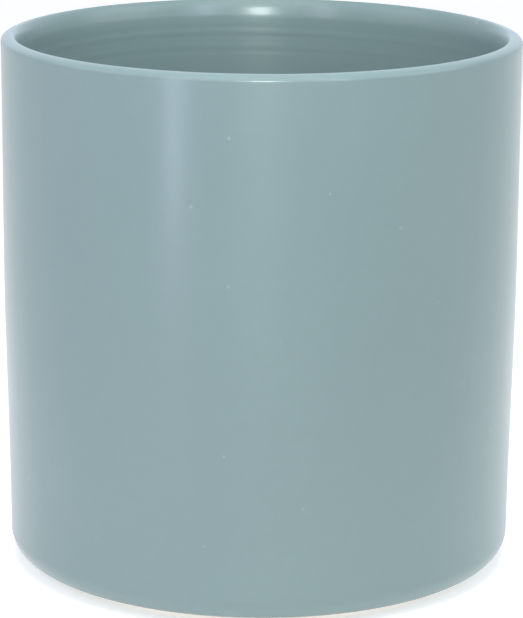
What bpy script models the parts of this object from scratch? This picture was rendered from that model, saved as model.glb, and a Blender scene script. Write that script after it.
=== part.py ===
"""Brush holder pot: a turned stoneware cup, the glaze that coats it, and the felt pads it stands on.

Lengths are in metres and +Z is up. The origin is on the pot's axis, on the surface that the pads stand on.
Every ceramic shape is a surface of revolution, so it is drawn as an outline of (radius, height) points and
spun round +Z. The glazed skin is drawn once, by glazed_line, at any depth under the visible surface: the coat
lies between depth 0 and GLAZE_THICKNESS, and the clay starts one GAP further in.
"""

import math

import bmesh
import bpy
from mathutils import Matrix

# Driving dimensions
BODY_RADIUS = 0.0625
OVERALL_HEIGHT = 0.1295
WALL_THICKNESS = 0.0045
FLOOR_HEIGHT = 0.0070

# The wall is straight at the top and draws in towards the foot. The radius lost is a share of BODY_RADIUS.
# Where that starts, and how far it runs, are shares of the height
WALL_DRAW_IN = 0.0164
DRAW_IN_START = 0.42
DRAW_IN_RUN = 0.55

# The lip: a tight outer corner, a low dome on top, and a long easing down into the inner wall
LIP_CORNER = 0.0011
LIP_CORNER_TURN = 60.0
LIP_CREST = 0.0026
LIP_EASING = 0.0060

# Roundings of the glazed surface at the base and round the floor
BASE_ROUND = 0.0061
FLOOR_ROUND = 0.0050

# Layers, and the clearance that touching pieces keep
GLAZE_THICKNESS = 0.00035
GAP = 0.0003

# Bare foot ring under the base, and the recess inside it
FOOT_SETBACK = 0.0070
FOOT_RING_WIDTH = 0.0100
FOOT_PROUD = 0.00035
FOOT_EDGE = 0.0003
RECESS_DEPTH = 0.0015
RECESS_SLOPE = 0.0010

# Felt pads under the foot ring
PAD_COUNT = 4
PAD_RADIUS = 0.0040
PAD_THICKNESS = 0.0008
PAD_EDGE = 0.00015
PAD_FIRST_ANGLE = math.radians(45)

# How finely the round shapes are drawn
TURN_STEPS = 64
PAD_SIDES = 32
OUTER_WALL_STEPS = 8
INNER_WALL_STEPS = 6
ROUND_STEPS = 4
DOME_STEPS = 2
EASING_STEPS = 5
SMOOTH_UNDER = math.radians(40)
MERGE_DISTANCE = 1e-6

# Heights that follow from the stack: pads, gap, foot ring, glazed base
FOOT_Z = PAD_THICKNESS + GAP
GLAZE_BOTTOM_Z = FOOT_Z + FOOT_PROUD
BASE_ROUND_Z = GLAZE_BOTTOM_Z + BASE_ROUND
WALL_SPAN = OVERALL_HEIGHT - GLAZE_BOTTOM_Z
CLAY_DEPTH = GLAZE_THICKNESS + GAP

# The lip's dome is the arc that carries the corner on to the crest
CORNER_ANGLE = math.radians(LIP_CORNER_TURN)
LIP_DOME = (LIP_CREST - LIP_CORNER * (1 - math.cos(CORNER_ANGLE))) / math.cos(CORNER_ANGLE)
LIP_CORNER_Z = OVERALL_HEIGHT - LIP_DOME * (1 - math.sin(CORNER_ANGLE)) - LIP_CORNER * math.sin(CORNER_ANGLE)


def outer_radius(z):
    """Radius of the glazed outer wall at height z: straight, then eased smoothly in towards the foot."""
    depth_share = (OVERALL_HEIGHT - z) / WALL_SPAN
    t = min(1.0, max(0.0, (depth_share - DRAW_IN_START) / DRAW_IN_RUN))
    return BODY_RADIUS * (1 - WALL_DRAW_IN * t * t * (3 - 2 * t))


def inner_radius(z):
    """Radius of the glazed inner wall at height z."""
    return outer_radius(z) - WALL_THICKNESS


def arc(centre_r, centre_z, radius, start, end, steps=ROUND_STEPS):
    """Points on an arc of the outline, from start to end in degrees, both ends included."""
    angles = [math.radians(start + (end - start) * i / steps) for i in range(steps + 1)]
    return [(centre_r + radius * math.cos(a), centre_z + radius * math.sin(a)) for a in angles]


def easing(depth):
    """The lip's inner side, from its crest to the inner wall: a quarter of an ellipse, moved in by depth."""
    across = WALL_THICKNESS - LIP_CREST
    points = []
    for i in range(1, EASING_STEPS + 1):
        a = math.radians(90 * i / EASING_STEPS)
        into_r = LIP_EASING * math.sin(a)
        into_z = across * math.cos(a)
        share = depth / math.hypot(into_r, into_z)
        r = BODY_RADIUS - LIP_CREST - across * math.sin(a) + into_r * share
        z = OVERALL_HEIGHT - LIP_EASING * (1 - math.cos(a)) - into_z * share
        points.append((r, z))
    return points


def wall(radius_at, low_z, high_z, steps):
    """Points strictly between two heights on a wall whose radius is a function of height."""
    heights = [low_z + (high_z - low_z) * i / steps for i in range(1, steps)]
    return [(radius_at(z), z) for z in heights]


def glazed_line(depth):
    """Outline of the glazed skin at a depth under it: base, outer wall, lip, inner wall, floor centre."""
    base_r = outer_radius(BASE_ROUND_Z) - BASE_ROUND
    floor_round_z = FLOOR_HEIGHT + FLOOR_ROUND
    floor_round_r = inner_radius(floor_round_z) - FLOOR_ROUND
    corner_r = BODY_RADIUS - LIP_CORNER
    crest_r = BODY_RADIUS - LIP_CREST
    easing_z = OVERALL_HEIGHT - LIP_EASING
    inner_wall = wall(lambda z: inner_radius(z) + depth, floor_round_z, easing_z, INNER_WALL_STEPS)
    return [
        *arc(base_r, BASE_ROUND_Z, BASE_ROUND - depth, -90, 0),
        *wall(lambda z: outer_radius(z) - depth, BASE_ROUND_Z, LIP_CORNER_Z, OUTER_WALL_STEPS),
        *arc(corner_r, LIP_CORNER_Z, LIP_CORNER - depth, 0, LIP_CORNER_TURN),
        *arc(crest_r, OVERALL_HEIGHT - LIP_DOME, LIP_DOME - depth, LIP_CORNER_TURN, 90, DOME_STEPS)[1:],
        *easing(depth),
        *reversed(inner_wall),
        *arc(floor_round_r, floor_round_z, FLOOR_ROUND + depth, 0, -90),
        (0.0, FLOOR_HEIGHT - depth),
    ]


def foot_ring_radii():
    """Outer and inner radius of the bare ring that the pads are stuck to."""
    outer = outer_radius(BASE_ROUND_Z) - FOOT_SETBACK
    return outer, outer - FOOT_RING_WIDTH


def coat_outline():
    """The coat, from its edge beside the foot ring, over the lip, to the centre of the floor and back."""
    foot_outer, _ = foot_ring_radii()
    edge_r = foot_outer + GAP
    outside = glazed_line(0.0)
    inside = glazed_line(GLAZE_THICKNESS)
    return [(edge_r, GLAZE_BOTTOM_Z), *outside, *reversed(inside), (edge_r, GLAZE_BOTTOM_Z + GLAZE_THICKNESS)]


def clay_outline():
    """The stoneware, from the centre of the recess, over the foot ring, to the centre of the floor."""
    foot_outer, foot_inner = foot_ring_radii()
    recess_z = FOOT_Z + RECESS_DEPTH
    clay_base_z = GLAZE_BOTTOM_Z + CLAY_DEPTH
    return [
        (0.0, recess_z),
        (foot_inner - RECESS_SLOPE, recess_z),
        (foot_inner, FOOT_Z + FOOT_EDGE),
        (foot_inner + FOOT_EDGE, FOOT_Z),
        (foot_outer - FOOT_EDGE, FOOT_Z),
        (foot_outer, FOOT_Z + FOOT_EDGE),
        (foot_outer, clay_base_z),
        *glazed_line(CLAY_DEPTH),
    ]


def material(name, colour, roughness):
    """A plain finish: the colour in linear RGB, and how rough it is."""
    made = bpy.data.materials.new(name)
    made.use_nodes = True
    shader = made.node_tree.nodes["Principled BSDF"]
    shader.inputs["Base Color"].default_value = (*colour, 1.0)
    shader.inputs["Roughness"].default_value = roughness
    shader.inputs["Metallic"].default_value = 0.0
    return made


def add_object(name, mesh, finish):
    """Links a mesh to the scene as one sub-part, shaded smooth with its edges kept sharp."""
    mesh.materials.append(finish)
    mesh.shade_smooth()
    mesh.set_sharp_from_angle(angle=SMOOTH_UNDER)
    made = bpy.data.objects.new(name, mesh)
    bpy.context.scene.collection.objects.link(made)
    return made


def turned(name, outline, finish):
    """One piece of pottery: the outline spun a full turn round +Z and sewn up along the axis."""
    shape = bmesh.new()
    points = [shape.verts.new((r, 0.0, z)) for r, z in outline]
    lines = [shape.edges.new(pair) for pair in zip(points, points[1:])]
    on_axis = outline[0][0] == 0.0 and outline[-1][0] == 0.0
    if not on_axis:
        lines.append(shape.edges.new((points[-1], points[0])))
    bmesh.ops.spin(
        shape,
        geom=points + lines,
        cent=(0, 0, 0),
        axis=(0, 0, 1),
        angle=math.tau,
        steps=TURN_STEPS,
    )
    bmesh.ops.remove_doubles(shape, verts=shape.verts, dist=MERGE_DISTANCE)
    bmesh.ops.dissolve_degenerate(shape, edges=shape.edges, dist=MERGE_DISTANCE)
    bmesh.ops.recalc_face_normals(shape, faces=shape.faces)
    mesh = bpy.data.meshes.new(name)
    shape.to_mesh(mesh)
    shape.free()
    return add_object(name, mesh, finish)


def pad_mesh():
    """A felt disc with its lower face at height 0 and its rims eased."""
    shape = bmesh.new()
    lift = Matrix.Translation((0, 0, PAD_THICKNESS / 2))
    bmesh.ops.create_cone(
        shape,
        cap_ends=True,
        segments=PAD_SIDES,
        radius1=PAD_RADIUS,
        radius2=PAD_RADIUS,
        depth=PAD_THICKNESS,
        matrix=lift,
    )
    rims = [edge for edge in shape.edges if abs(edge.verts[0].co.z - edge.verts[1].co.z) < MERGE_DISTANCE]
    bmesh.ops.bevel(shape, geom=rims, offset=PAD_EDGE, segments=1, affect="EDGES")
    mesh = bpy.data.meshes.new("felt_pad")
    shape.to_mesh(mesh)
    shape.free()
    return mesh


def felt_pads(finish):
    """The pads, evenly round the middle of the foot ring."""
    ring_middle = sum(foot_ring_radii()) / 2
    for i in range(PAD_COUNT):
        angle = PAD_FIRST_ANGLE + math.tau * i / PAD_COUNT
        pad = add_object(f"felt_pad_{i + 1}", pad_mesh(), finish)
        pad.location = (ring_middle * math.cos(angle), ring_middle * math.sin(angle), 0.0)


def main():
    for old in list(bpy.data.objects):
        bpy.data.objects.remove(old)
    clay = material("bare_stoneware", (0.62, 0.55, 0.45), 0.85)
    glaze = material("satin_glaze", (0.25, 0.36, 0.37), 0.38)
    felt = material("grey_felt", (0.16, 0.15, 0.14), 0.95)
    turned("stoneware_body", clay_outline(), clay)
    turned("glaze_coat", coat_outline(), glaze)
    felt_pads(felt)


main()
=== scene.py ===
"""Looks of the brush holder pot: a satin sage glaze over stoneware, on felt pads, on a pale studio floor.

Lengths are in metres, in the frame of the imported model: +Z up, the origin on the pot's axis at the surface
that it stands on. The glazed skin is drawn once, by skin_outline, at any depth under the visible surface.
What varies round the pot is cut inwards from that skin, so the model keeps its size.
"""

import math
import random

import bmesh
import bpy
from mathutils import Matrix, Vector, noise


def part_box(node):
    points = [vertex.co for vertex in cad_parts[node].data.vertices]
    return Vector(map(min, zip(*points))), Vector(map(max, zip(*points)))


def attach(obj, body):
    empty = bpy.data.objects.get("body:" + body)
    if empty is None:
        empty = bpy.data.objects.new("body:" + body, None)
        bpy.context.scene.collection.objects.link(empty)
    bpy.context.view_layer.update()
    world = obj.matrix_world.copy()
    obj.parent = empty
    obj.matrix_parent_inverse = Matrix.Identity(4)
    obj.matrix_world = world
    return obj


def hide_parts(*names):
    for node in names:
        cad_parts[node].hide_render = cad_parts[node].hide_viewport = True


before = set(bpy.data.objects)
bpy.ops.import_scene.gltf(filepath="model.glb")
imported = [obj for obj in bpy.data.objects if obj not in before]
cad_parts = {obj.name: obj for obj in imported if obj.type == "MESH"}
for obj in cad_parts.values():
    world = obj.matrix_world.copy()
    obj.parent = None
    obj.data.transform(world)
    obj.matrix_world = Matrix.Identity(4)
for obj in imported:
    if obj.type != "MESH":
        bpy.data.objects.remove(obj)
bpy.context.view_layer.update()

# The glazed skin, with the driving dimensions of the CAD source
TOP_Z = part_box("glaze_coat")[1].z
GLAZE_BOTTOM_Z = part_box("glaze_coat")[0].z
FOOT_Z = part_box("stoneware_body")[0].z
BODY_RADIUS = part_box("glaze_coat")[1].x
WALL_THICKNESS = 0.0045
WALL_DRAW_IN = 0.0164
DRAW_IN_START = 0.42
DRAW_IN_RUN = 0.55
FLOOR_HEIGHT = 0.0070
LIP_CORNER = 0.0011
LIP_CORNER_TURN = 60.0
LIP_CREST = 0.0026
LIP_EASING = 0.0060
BASE_ROUND = 0.0061
FLOOR_ROUND = 0.0050
GLAZE_THICKNESS = 0.00035
FOOT_SETBACK = 0.0070
FOOT_RING_WIDTH = 0.0100
FOOT_EDGE = 0.0003
RECESS_DEPTH = 0.0015
RECESS_SLOPE = 0.0010
BASE_ROUND_Z = GLAZE_BOTTOM_Z + BASE_ROUND
WALL_SPAN = TOP_Z - GLAZE_BOTTOM_Z
CORNER_ANGLE = math.radians(LIP_CORNER_TURN)
LIP_DOME = (LIP_CREST - LIP_CORNER * (1 - math.cos(CORNER_ANGLE))) / math.cos(CORNER_ANGLE)
LIP_CORNER_Z = TOP_Z - LIP_DOME * (1 - math.sin(CORNER_ANGLE)) - LIP_CORNER * math.sin(CORNER_ANGLE)

# Small clearances between surfaces that would otherwise share a place
GLAZE_EDGE_GAP = 0.0001
SKIN_GAP = 0.00002

# A point nearer to the axis than this is on it
AXIS_RADIUS = 1e-9

# How finely the turned surfaces are drawn. The ring zone is the top of the inner wall, where the rings show
TURN_STEPS = 200
OUTER_ROW = 0.0020
INNER_ROW = 0.0010
RING_ROW = 0.0004
RING_ZONE = 0.0160
HIDDEN_ROW = 0.0080
LIP_STEPS = 14
EASING_STEPS = 28
FLOOR_ROUND_STEPS = 16
FLOOR_STEPS = 24
RECESS_STEPS = 20

# The slow unevenness of the outside, and the height over which it dies out under the lip
OUTER_WAVE = 0.00004
OUTER_FADE = 0.0030

# Turning rings inside: how deep they are, how far apart, and how they fade below the top of the wall
RING_DEPTH = 0.00009
COARSE_RING = 0.0036
FINE_RING = 0.0021
RING_DRIFT = 0.0006
RING_FADE_IN = 0.0040
RING_STRONG_SPAN = 0.0080
RING_FADE_SPAN = 0.0080
RING_FAINT_SHARE = 0.3
INNER_WALL_REACH = 0.0010

# Felt pads, and the adhesive film between each pad and the foot
PAD_COUNT = 4
PAD_ROWS = 24
PAD_EDGE_STEPS = 5
PAD_EDGE = 0.00018
FILM_EDGE = 0.00004
FILM_SETBACK = 0.00015
FELT_GRAIN = 2600
FELT_PADS_APART = 37
FELT_EDGE_BAND = 0.0003
FELT_EDGE_RELIEF = 0.00016
FELT_FACE_RELIEF = 0.00005

# Loose ends of wool round a pad's edge
FIBRES = 260
FIBRE_WIDTH = 0.00002
FIBRE_LENGTHS = (0.00015, 0.00050)
FIBRE_ROOT = 0.00012
FIBRE_LEAN = 1.2
FIBRE_RISE = 0.25
FIBRE_LOWEST = 0.00003

# Camera
CAMERA_DISTANCE = 0.7168
CAMERA_ABOVE_LIP = 0.1084
CAMERA_PITCH = 0.2415
CAMERA_ROLL = 0.0062
FRAMES_TO_LENS = 4.869
CAMERA_SHIFT = 0.0022
SENSOR = 36.0

# Studio: glows of the surrounding tent, as colour and the axis and side that each one comes from
GLOWS = {
    "all_round": ((0.18, 0.18, 0.18), None, None),
    "behind": ((0.80, 0.87, 1.04), "Y", 1.0),
    "in_front": ((1.18, 1.20, 1.15), "Y", -1.0),
    "both_sides": ((0.43, 0.43, 0.49), "X", None),
}
GLOW_FALLOFF = 2.0
FLOOR_HALF_SIZE = 3.0
FLOOR_GREY = 0.86
FLOOR_GLOW = 0.46

random.seed(11)


# ---------------------------------------------------------------- shape

def outer_radius(z):
    """Radius of the glazed outer wall at height z: straight, then eased smoothly in towards the foot."""
    depth_share = (TOP_Z - z) / WALL_SPAN
    t = min(1.0, max(0.0, (depth_share - DRAW_IN_START) / DRAW_IN_RUN))
    return BODY_RADIUS * (1 - WALL_DRAW_IN * t * t * (3 - 2 * t))


def inner_radius(z):
    """Radius of the glazed inner wall at height z."""
    return outer_radius(z) - WALL_THICKNESS


def arc(centre_r, centre_z, radius, start, end, steps):
    """Points on an arc, from start to end in degrees, both ends included."""
    angles = [math.radians(start + (end - start) * i / steps) for i in range(steps + 1)]
    return [(centre_r + radius * math.cos(a), centre_z + radius * math.sin(a)) for a in angles]


def easing(depth):
    """The lip's inner side, from its crest to the inner wall: a quarter of an ellipse, moved in by depth."""
    across = WALL_THICKNESS - LIP_CREST
    points = []
    for i in range(1, EASING_STEPS + 1):
        a = math.radians(90 * i / EASING_STEPS)
        into_r = LIP_EASING * math.sin(a)
        into_z = across * math.cos(a)
        share = depth / math.hypot(into_r, into_z)
        r = BODY_RADIUS - LIP_CREST - across * math.sin(a) + into_r * share
        z = TOP_Z - LIP_EASING * (1 - math.cos(a)) - into_z * share
        points.append((r, z))
    return points


def wall(radius_at, low_z, high_z, row):
    """Points strictly between two heights, about one row apart."""
    steps = max(2, round((high_z - low_z) / row))
    heights = [low_z + (high_z - low_z) * i / steps for i in range(1, steps)]
    return [(radius_at(z), z) for z in heights]


def skin_outline(depth, inner_row=INNER_ROW, ring_row=RING_ROW):
    """Outline of the glazed skin at a depth under it: base corner, outer wall, lip, inner wall, floor."""
    base_r = outer_radius(BASE_ROUND_Z) - BASE_ROUND
    floor_round_z = FLOOR_HEIGHT + FLOOR_ROUND
    floor_round_r = inner_radius(floor_round_z) - FLOOR_ROUND
    ring_zone_z = TOP_Z - RING_ZONE

    def inner_wall(z):
        return inner_radius(z) + depth

    inside = [
        *wall(inner_wall, floor_round_z, ring_zone_z, inner_row),
        (inner_wall(ring_zone_z), ring_zone_z),
        *wall(inner_wall, ring_zone_z, TOP_Z - LIP_EASING, ring_row),
    ]
    floor_r = [floor_round_r * (1 - i / FLOOR_STEPS) for i in range(1, FLOOR_STEPS + 1)]
    corner_r = BODY_RADIUS - LIP_CORNER
    crest_r = BODY_RADIUS - LIP_CREST
    return [
        *arc(base_r, BASE_ROUND_Z, BASE_ROUND - depth, -90, 0, LIP_STEPS),
        *wall(lambda z: outer_radius(z) - depth, BASE_ROUND_Z, LIP_CORNER_Z, OUTER_ROW),
        *arc(corner_r, LIP_CORNER_Z, LIP_CORNER - depth, 0, LIP_CORNER_TURN, LIP_STEPS),
        *arc(crest_r, TOP_Z - LIP_DOME, LIP_DOME - depth, LIP_CORNER_TURN, 90, LIP_STEPS)[1:],
        *easing(depth),
        *reversed(inside),
        *arc(floor_round_r, floor_round_z, FLOOR_ROUND + depth, 0, -90, FLOOR_ROUND_STEPS),
        *[(r, FLOOR_HEIGHT - depth) for r in floor_r],
    ]


def outline_normals(outline):
    """The outward normal at each point of an outline, across the line between its two neighbours."""
    last = len(outline) - 1
    normals = []
    for i in range(len(outline)):
        before = outline[max(i - 1, 0)]
        after = outline[min(i + 1, last)]
        along = Vector((after[0] - before[0], after[1] - before[1])).normalized()
        normals.append((along.y, -along.x))
    return normals


def turned_ring(shape, point, normal, relief):
    """The points that one point of the outline makes in a full turn, or a single one on the axis."""
    r, z = point
    if r < AXIS_RADIUS:
        return [shape.verts.new((0, 0, z))]
    ring = []
    for j in range(TURN_STEPS):
        a = math.tau * j / TURN_STEPS
        cut = relief(point, a) if relief else 0.0
        cut_r = r - normal[0] * cut
        ring.append(shape.verts.new((cut_r * math.cos(a), cut_r * math.sin(a), z - normal[1] * cut)))
    return ring


def sew(shape, low, high):
    """Faces between two neighbouring rings, either of which may be a single point on the axis."""
    steps = max(len(low), len(high))
    for j in range(steps):
        k = (j + 1) % steps
        corners = [low[j % len(low)], low[k % len(low)], high[k % len(high)], high[j % len(high)]]
        corners = list(dict.fromkeys(corners))
        if len(corners) > 2:
            shape.faces.new(corners)


def spin(name, outline, relief=None):
    """The outline turned round +Z. relief(point, angle) is how far a point is cut in, along its normal."""
    shape = bmesh.new()
    normals = outline_normals(outline)
    rings = [turned_ring(shape, point, normal, relief) for point, normal in zip(outline, normals)]
    on_axis = len(rings[0]) == 1 and len(rings[-1]) == 1
    closed = rings if on_axis else [*rings, rings[0]]
    for low, high in zip(closed, closed[1:]):
        sew(shape, low, high)
    bmesh.ops.recalc_face_normals(shape, faces=shape.faces)
    mesh = bpy.data.meshes.new(name)
    shape.to_mesh(mesh)
    shape.free()
    mesh.shade_smooth()
    made = bpy.data.objects.new(name, mesh)
    bpy.context.scene.collection.objects.link(made)
    return made


def round_pot(a, across, z, along):
    """A place in noise space for angle a and height z: cells per radius across, cells per metre along Z."""
    return Vector((math.cos(a) * across, math.sin(a) * across, z * along))


def outer_relief(z, a):
    """The slow unevenness that a thick coat of glaze leaves on a turned wall."""
    broad = noise.noise(round_pot(a, 1.6, z, 22))
    fine = noise.noise(round_pot(a, 7, z, 120))
    return OUTER_WAVE * (1 + 0.7 * broad + 0.3 * fine)


def ring_relief(z, a):
    """Turning rings on the inside wall: ridges a few millimetres apart that drift and fade round the pot."""
    h = z + RING_DRIFT * noise.noise(round_pot(a, 1, z, 30))
    coarse = math.sin(math.tau * h / COARSE_RING + 2.2 * noise.noise(Vector((0.3, 0.7, h * 90))))
    fine = math.sin(math.tau * h / FINE_RING + 2.5 * noise.noise(Vector((4.1, 1.3, h * 160))))
    strength = 0.55 + 0.45 * noise.noise(round_pot(a, 0.8, h, 45))
    fade = min(1.0, max(0.0, 1 - (TOP_Z - z - RING_STRONG_SPAN) / RING_FADE_SPAN))
    strength *= RING_FAINT_SHARE + (1 - RING_FAINT_SHARE) * fade
    return RING_DEPTH * strength * (1 + 0.6 * coarse + 0.4 * fine) / 2


def glaze_relief(point, a):
    """How far the glazed skin is cut in at a point: the outer wall's waves, the inner wall's rings."""
    r, z = point
    if z > LIP_CORNER_Z or z < BASE_ROUND_Z:
        return 0.0
    under_lip = LIP_CORNER_Z - z
    if r > outer_radius(z) - WALL_THICKNESS / 2:
        return outer_relief(z, a) * min(1.0, under_lip / OUTER_FADE)
    if r > inner_radius(z) - INNER_WALL_REACH:
        return ring_relief(z, a) * min(1.0, under_lip / RING_FADE_IN)
    return 0.0


# ---------------------------------------------------------------- nodes

def shader_of(material):
    return material.node_tree.nodes["Principled BSDF"]


def new_material(name):
    material = bpy.data.materials.new(name)
    material.use_nodes = True
    return material


def add(material, kind, **values):
    """A node of that kind, with its properties and input values set by name."""
    node = material.node_tree.nodes.new(kind)
    for key, value in values.items():
        if hasattr(node, key):
            setattr(node, key, value)
        else:
            node.inputs[key.replace("_", " ").title()].default_value = value
    return node


def join(material, source, output, target, socket):
    material.node_tree.links.new(source.outputs[output], target.inputs[socket])


def object_texture(material, kind, **values):
    """A texture node that is laid out in the piece's own space."""
    coords = add(material, "ShaderNodeTexCoord")
    texture = add(material, kind, **values)
    join(material, coords, "Object", texture, "Vector")
    return texture


def grey(v):
    return (v, v, v, 1.0)


def ramp(material, source, output, stops):
    """A colour ramp on source's output: stops are (position, colour)."""
    node = add(material, "ShaderNodeValToRGB")
    elements = node.color_ramp.elements
    while len(elements) > 1:
        elements.remove(elements[-1])
    elements[0].position, elements[0].color = stops[0]
    for position, colour in stops[1:]:
        elements.new(position).color = colour
    join(material, source, output, node, "Fac")
    return node


def mix(material, factor, a, b, blend="MIX"):
    """Mix of two colours. Each of factor, a and b is a number, a colour or a (node, output) pair."""
    node = add(material, "ShaderNodeMix", data_type="RGBA", blend_type=blend)
    for index, value in ((0, factor), (6, a), (7, b)):
        if isinstance(value, tuple) and isinstance(value[0], bpy.types.Node):
            join(material, *value, node, index)
        else:
            node.inputs[index].default_value = value
    return (node, 2)


def speckle(material, scale, core, edge, chosen):
    """Small round specks: 1 inside one, 0 outside. chosen is the pair of ramp stops that thins them out."""
    cells = object_texture(material, "ShaderNodeTexVoronoi", scale=scale)
    dot = ramp(material, cells, "Distance", [(0.0, grey(1)), (core, grey(1)), (edge, grey(0))])
    kept = ramp(material, cells, "Color", [(chosen[0], grey(0)), (chosen[1], grey(1))])
    return mix(material, 1.0, (dot, "Color"), (kept, "Color"), "MULTIPLY")


def bump(material, height, strength, distance, onto=None, invert=False):
    """A bump node over height, a (node, output) pair, on top of another bump if one is given."""
    node = add(material, "ShaderNodeBump", strength=strength, distance=distance, invert=invert)
    join(material, *height, node, "Height")
    if onto:
        join(material, onto, "Normal", node, "Normal")
    return node


# ---------------------------------------------------------------- materials

def glaze_material():
    """Satin glaze: an almost even sage with faint mottling, a few pale specks, fine turning grooves and a
    little orange-peel. The grooves stretch its highlights up and down the wall."""
    m = new_material("satin_sage_glaze")
    shader = shader_of(m)
    cloud = object_texture(m, "ShaderNodeTexNoise", scale=24.0, detail=3.0, roughness=0.55)
    mottle = object_texture(m, "ShaderNodeTexNoise", scale=420.0, detail=5.0, roughness=0.65)
    base = ramp(m, cloud, "Fac", [(0.1, (0.148, 0.216, 0.222, 1)), (0.9, (0.158, 0.228, 0.234, 1))])
    grain = ramp(m, mottle, "Fac", [(0.1, grey(0.975)), (0.9, grey(1.025))])
    sage = mix(m, 1.0, (base, "Color"), (grain, "Color"), "MULTIPLY")
    specks = speckle(m, scale=150.0, core=0.045, edge=0.075, chosen=(0.66, 0.68))
    join(m, *mix(m, specks, sage, (0.20, 0.275, 0.285, 1)), shader, "Base Color")

    gloss = ramp(m, cloud, "Fac", [(0.1, grey(0.29)), (0.9, grey(0.33))])
    join(m, gloss, "Color", shader, "Roughness")
    shader.inputs["IOR"].default_value = 1.43
    shader.inputs["Anisotropic"].default_value = 0.5
    shader.inputs["Anisotropic Rotation"].default_value = 0.25
    shader.inputs["Coat Weight"].default_value = 0.22
    shader.inputs["Coat Roughness"].default_value = 0.16
    around = add(m, "ShaderNodeTangent", direction_type="RADIAL", axis="Z")
    join(m, around, "Tangent", shader, "Tangent")

    stretch = object_texture(m, "ShaderNodeMapping")
    stretch.inputs["Scale"].default_value = (1, 1, 50)
    grooves = add(m, "ShaderNodeTexNoise", scale=25.0, detail=2.0, roughness=0.5)
    join(m, stretch, "Vector", grooves, "Vector")
    peel = object_texture(m, "ShaderNodeTexNoise", scale=260.0, detail=2.0, roughness=0.5)
    turning = bump(m, (grooves, "Fac"), strength=0.5, distance=0.00003)
    peeled = bump(m, (peel, "Fac"), strength=0.06, distance=0.0002, onto=turning)
    pitted = bump(m, specks, strength=0.15, distance=0.0002, onto=peeled, invert=True)
    join(m, pitted, "Normal", shader, "Normal")
    return m


def clay_material():
    """Bare fired stoneware: cream, sandy, with small iron specks."""
    m = new_material("bare_cream_stoneware")
    shader = shader_of(m)
    cloud = object_texture(m, "ShaderNodeTexNoise", scale=60.0, detail=4.0, roughness=0.6)
    sand = object_texture(m, "ShaderNodeTexNoise", scale=1800.0, detail=4.0, roughness=0.7)
    base = ramp(m, cloud, "Fac", [(0.3, (0.60, 0.52, 0.42, 1)), (0.7, (0.70, 0.62, 0.51, 1))])
    grain = ramp(m, sand, "Fac", [(0.3, grey(0.82)), (0.7, grey(1.10))])
    cream = mix(m, 1.0, (base, "Color"), (grain, "Color"), "MULTIPLY")
    iron = speckle(m, scale=420.0, core=0.14, edge=0.22, chosen=(0.90, 0.93))
    join(m, *mix(m, iron, cream, (0.16, 0.09, 0.05, 1)), shader, "Base Color")
    shader.inputs["Roughness"].default_value = 0.88
    join(m, bump(m, (sand, "Fac"), strength=0.6, distance=0.0001), "Normal", shader, "Normal")
    return m


def felt_material():
    """Pressed grey wool felt: tangled fibres of several tones, with a soft sheen."""
    m = new_material("pressed_grey_felt")
    shader = shader_of(m)
    tangle = object_texture(
        m, "ShaderNodeTexNoise", scale=1300.0, detail=6.0, roughness=0.75, distortion=2.5
    )
    base = ramp(m, tangle, "Fac", [(0.3, (0.07, 0.068, 0.065, 1)), (0.7, (0.24, 0.23, 0.22, 1))])
    join(m, base, "Color", shader, "Base Color")
    shader.inputs["Roughness"].default_value = 0.95
    shader.inputs["Sheen Weight"].default_value = 0.4
    join(m, bump(m, (tangle, "Fac"), strength=0.9, distance=0.0002), "Normal", shader, "Normal")
    return m


def film_material():
    """The pad's adhesive film: a thin, slightly yellow plastic."""
    m = new_material("adhesive_film")
    shader = shader_of(m)
    cloud = object_texture(m, "ShaderNodeTexNoise", scale=900.0, detail=3.0, roughness=0.6)
    base = ramp(m, cloud, "Fac", [(0.3, (0.52, 0.47, 0.34, 1)), (0.7, (0.66, 0.61, 0.47, 1))])
    join(m, base, "Color", shader, "Base Color")
    shader.inputs["Roughness"].default_value = 0.35
    return m


# ---------------------------------------------------------------- pieces

def glaze_piece():
    """The glaze: the visible skin, and the hidden side that lies against the clay."""
    edge_r = outer_radius(BASE_ROUND_Z) - FOOT_SETBACK + GLAZE_EDGE_GAP
    outside = skin_outline(0.0)
    inside = skin_outline(GLAZE_THICKNESS, HIDDEN_ROW, HIDDEN_ROW)
    outline = [
        (edge_r, GLAZE_BOTTOM_Z),
        *outside[:-1],
        (0.0, FLOOR_HEIGHT),
        (0.0, FLOOR_HEIGHT - GLAZE_THICKNESS),
        *inside[-2::-1],
        (edge_r, GLAZE_BOTTOM_Z + GLAZE_THICKNESS),
    ]
    piece = spin("glaze_skin", outline, glaze_relief)
    piece.data.materials.append(glaze_material())
    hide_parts("glaze_coat")
    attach(piece, "root")


def clay_piece():
    """The stoneware: the recess, the foot ring, and the body under the glaze."""
    foot_outer = outer_radius(BASE_ROUND_Z) - FOOT_SETBACK
    foot_inner = foot_outer - FOOT_RING_WIDTH
    recess_z = FOOT_Z + RECESS_DEPTH
    clay_depth = GLAZE_THICKNESS + SKIN_GAP
    outline = [
        (0.0, recess_z),
        *[(foot_inner * i / RECESS_STEPS, recess_z) for i in range(1, RECESS_STEPS - 1)],
        (foot_inner - RECESS_SLOPE, recess_z),
        (foot_inner, FOOT_Z + FOOT_EDGE),
        (foot_inner + FOOT_EDGE, FOOT_Z),
        (foot_outer - FOOT_EDGE, FOOT_Z),
        (foot_outer, FOOT_Z + FOOT_EDGE),
        (foot_outer, GLAZE_BOTTOM_Z + clay_depth),
        *skin_outline(clay_depth, HIDDEN_ROW, HIDDEN_ROW)[:-1],
        (0.0, FLOOR_HEIGHT - clay_depth),
    ]
    piece = spin("stoneware_clay", outline)
    piece.data.materials.append(clay_material())
    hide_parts("stoneware_body")
    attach(piece, "root")


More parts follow.
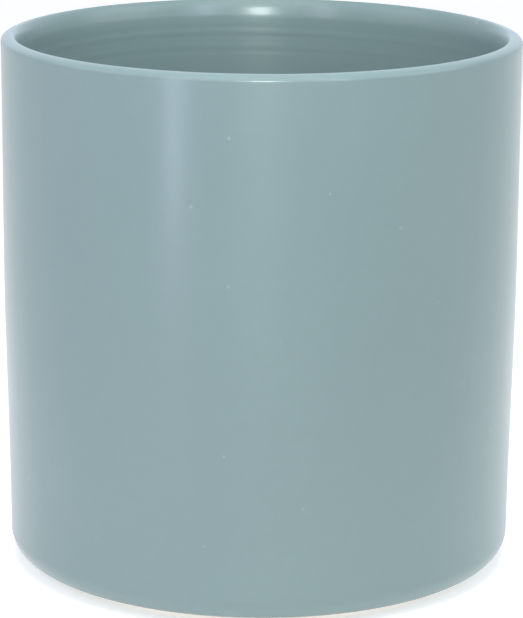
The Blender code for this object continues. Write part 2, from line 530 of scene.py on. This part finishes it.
def disc_outline(radius, low_z, high_z, edge):
    """Half a disc's section, from the centre of its lower face round to the centre of its upper one."""
    flat = [radius * i / PAD_ROWS for i in range(PAD_ROWS)]
    return [
        *[(r, low_z) for r in flat],
        *arc(radius - edge, low_z + edge, edge, -90, 0, PAD_EDGE_STEPS),
        (radius, (low_z + high_z) / 2),
        *arc(radius - edge, high_z - edge, edge, 0, 90, PAD_EDGE_STEPS),
        *[(r, high_z) for r in reversed(flat)],
    ]


def felt_relief(radius, number):
    """How deep the wool's surface is nibbled at a point of that pad, most at its edge."""

    def relief(point, a):
        r, z = point
        across = r * FELT_GRAIN
        up = z * FELT_GRAIN + number * FELT_PADS_APART
        where = Vector((across * math.cos(a), across * math.sin(a), up))
        share = 0.5 + 0.5 * noise.noise(where)
        return share * (FELT_EDGE_RELIEF if r > radius - FELT_EDGE_BAND else FELT_FACE_RELIEF)

    return relief


def add_fibres(shape, thickness, radius):
    """Loose ends of wool round the disc's edge: thin curved blades that leave it at all angles."""
    for _ in range(FIBRES):
        turn = random.uniform(0, math.tau)
        z = random.uniform(0.15, 0.85) * thickness
        out = Vector((math.cos(turn), math.sin(turn), 0))
        along = Vector((-math.sin(turn), math.cos(turn), 0))
        length = random.uniform(*FIBRE_LENGTHS)
        lean = random.uniform(-FIBRE_LEAN, FIBRE_LEAN)
        rise = random.uniform(-FIBRE_RISE, FIBRE_RISE)
        start = out * (radius - FIBRE_ROOT) + Vector((0, 0, z))
        bend = start + (out + along * lean * 0.4) * length * 0.6 + Vector((0, 0, rise * length))
        tip = bend + (out * 0.4 + along * lean) * length * 0.6
        tip.z = min(max(tip.z, FIBRE_LOWEST), thickness)
        half = Vector((0, 0, FIBRE_WIDTH / 2))
        corners = [shape.verts.new(p) for p in (start - half, bend - half, bend + half, start + half)]
        shape.faces.new(corners)
        shape.faces.new((corners[1], shape.verts.new(tip), corners[2]))


def felt_disc(number, radius, thickness, finish):
    """One pad's pressed disc of wool, with a ragged edge."""
    outline = disc_outline(radius, 0.0, thickness, PAD_EDGE)
    disc = spin(f"felt_disc_{number}", outline, felt_relief(radius, number))
    shape = bmesh.new()
    shape.from_mesh(disc.data)
    add_fibres(shape, thickness, radius)
    shape.to_mesh(disc.data)
    shape.free()
    disc.data.materials.append(finish)
    disc.data.shade_smooth()
    return disc


def felt_film(number, radius, thickness, finish):
    """The adhesive film that holds one pad to the foot."""
    film = spin(f"felt_film_{number}", disc_outline(radius - FILM_SETBACK, thickness, FOOT_Z, FILM_EDGE))
    film.data.materials.append(finish)
    return film


def felt_pieces():
    """The four pads, each a disc of wool and the film over it."""
    wool = felt_material()
    plastic = film_material()
    for number in range(1, PAD_COUNT + 1):
        node = f"felt_pad_{number}"
        low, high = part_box(node)
        radius = (high.x - low.x) / 2
        thickness = high.z - low.z
        pad = felt_disc(number, radius, thickness, wool)
        glue = felt_film(number, radius, thickness, plastic)
        for piece in (pad, glue):
            piece.location = ((low.x + high.x) / 2, (low.y + high.y) / 2, 0.0)
            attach(piece, "root")
        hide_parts(node)


# ---------------------------------------------------------------- studio

def studio_world():
    """A pale tent: its light is a few broad glows, each a simple function of direction, added up."""
    world = bpy.data.worlds.new("studio")
    world.use_nodes = True
    nodes, links = world.node_tree.nodes, world.node_tree.links
    coords = nodes.new("ShaderNodeTexCoord")
    split = nodes.new("ShaderNodeSeparateXYZ")
    links.new(coords.outputs["Generated"], split.inputs["Vector"])

    def glow_node(colour, axis, side):
        """A colour, fading with the direction's distance from an axis, on one side of it or on both."""
        tint = nodes.new("ShaderNodeCombineXYZ")
        for channel, value in zip("XYZ", colour):
            tint.inputs[channel].default_value = value
        if axis is None:
            return tint
        facing = nodes.new("ShaderNodeMath")
        links.new(split.outputs[axis], facing.inputs[0])
        if side is None:
            facing.operation = "ABSOLUTE"
        else:
            facing.operation = "MULTIPLY"
            facing.inputs[1].default_value = side
            facing.use_clamp = True
        shaped = nodes.new("ShaderNodeMath")
        shaped.operation = "POWER"
        links.new(facing.outputs[0], shaped.inputs[0])
        shaped.inputs[1].default_value = GLOW_FALLOFF
        scaled = nodes.new("ShaderNodeVectorMath")
        scaled.operation = "SCALE"
        links.new(tint.outputs[0], scaled.inputs[0])
        links.new(shaped.outputs[0], scaled.inputs["Scale"])
        return scaled

    def summed(first, second):
        both = nodes.new("ShaderNodeVectorMath")
        both.operation = "ADD"
        links.new(first.outputs[0], both.inputs[0])
        links.new(second.outputs[0], both.inputs[1])
        return both

    total, *others = [glow_node(*glow) for glow in GLOWS.values()]
    for other in others:
        total = summed(total, other)
    links.new(total.outputs[0], nodes["Background"].inputs["Color"])
    bpy.context.scene.world = world


def floor():
    """A pale sheet that glows a little, so that it stays near white under the pot as well."""
    mesh = bpy.data.meshes.new("floor")
    s = FLOOR_HALF_SIZE
    mesh.from_pydata([(-s, -s, 0), (s, -s, 0), (s, s, 0), (-s, s, 0)], [], [(0, 1, 2, 3)])
    made = bpy.data.objects.new("floor", mesh)
    bpy.context.scene.collection.objects.link(made)
    m = new_material("pale_floor")
    inputs = shader_of(m).inputs
    inputs["Base Color"].default_value = grey(FLOOR_GREY)
    inputs["Roughness"].default_value = 0.9
    inputs["Emission Color"].default_value = grey(1)
    inputs["Emission Strength"].default_value = FLOOR_GLOW
    made.data.materials.append(m)


def panel(name, azimuth, distance, centre_z, size, radiance, aim_z=0.12, lights_up=True, reflects=True):
    """A panel facing the pot's axis at height aim_z. Azimuth 0 is the camera's side and turns towards +X.

    radiance is its brightness per colour. lights_up says whether it adds soft light to surfaces, and
    reflects whether it shows in their gloss.
    """
    width, height = size
    peak = max(radiance)
    data = bpy.data.lights.new(name, "AREA")
    data.shape = "RECTANGLE"
    data.size = width
    data.size_y = height
    data.energy = 4 * width * height * peak
    data.color = [c / peak for c in radiance]
    made = bpy.data.objects.new(name, data)
    a = math.radians(azimuth)
    made.location = (math.sin(a) * distance, -math.cos(a) * distance, centre_z)
    towards = Vector((0, 0, aim_z)) - made.location
    made.rotation_mode = "QUATERNION"
    made.rotation_quaternion = towards.to_track_quat("-Z", "Y")
    made.visible_camera = False
    made.visible_diffuse = lights_up
    made.visible_glossy = reflects
    bpy.context.scene.collection.objects.link(made)


def lights():
    """Two upright strips and a lamp for the highlights, a lamp over the mouth and a panel on each side."""
    panel("left_strip", -34, 0.32, 0.22, (0.045, 0.36), (2.9, 2.8, 3.7), aim_z=0.22)
    panel("right_strip", 31, 0.32, 0.27, (0.045, 0.22), (4.2, 4.6, 6.0), aim_z=0.27, lights_up=False)
    panel("front_lamp", 1, 1.00, 0.37, (0.17, 0.28), (24.0, 28.0, 26.5), lights_up=False)
    panel("mouth_lamp", 0, 0.115, 0.36, (0.24, 0.16), (7.1, 7.2, 7.1), reflects=False)
    panel("side_left", -78, 0.80, 0.50, (0.60, 0.60), (0.70, 0.72, 0.80))
    panel("side_right", 78, 0.80, 0.50, (0.60, 0.60), (1.22, 1.28, 1.38))


def camera():
    """A long lens in front of the pot, looking a little down on it."""
    data = bpy.data.cameras.new("camera")
    data.sensor_width = SENSOR
    data.lens = FRAMES_TO_LENS * SENSOR
    data.shift_x = CAMERA_SHIFT
    data.clip_start = 0.05
    data.clip_end = 50
    made = bpy.data.objects.new("camera", data)
    right = Vector((1, 0, 0))
    ahead = Vector((0, math.cos(CAMERA_PITCH), -math.sin(CAMERA_PITCH)))
    up = right.cross(ahead)
    rolled_right = right * math.cos(CAMERA_ROLL) + up * math.sin(CAMERA_ROLL)
    rolled_up = up * math.cos(CAMERA_ROLL) - right * math.sin(CAMERA_ROLL)
    axes = Matrix((rolled_right, rolled_up, -ahead)).transposed().to_4x4()
    where = (0, -CAMERA_DISTANCE, TOP_Z + CAMERA_ABOVE_LIP)
    made.matrix_world = Matrix.Translation(where) @ axes
    bpy.context.scene.collection.objects.link(made)
    bpy.context.scene.camera = made


def main():
    glaze_piece()
    clay_piece()
    felt_pieces()
    studio_world()
    floor()
    lights()
    camera()
    bpy.context.scene.view_settings.view_transform = "Standard"


main()
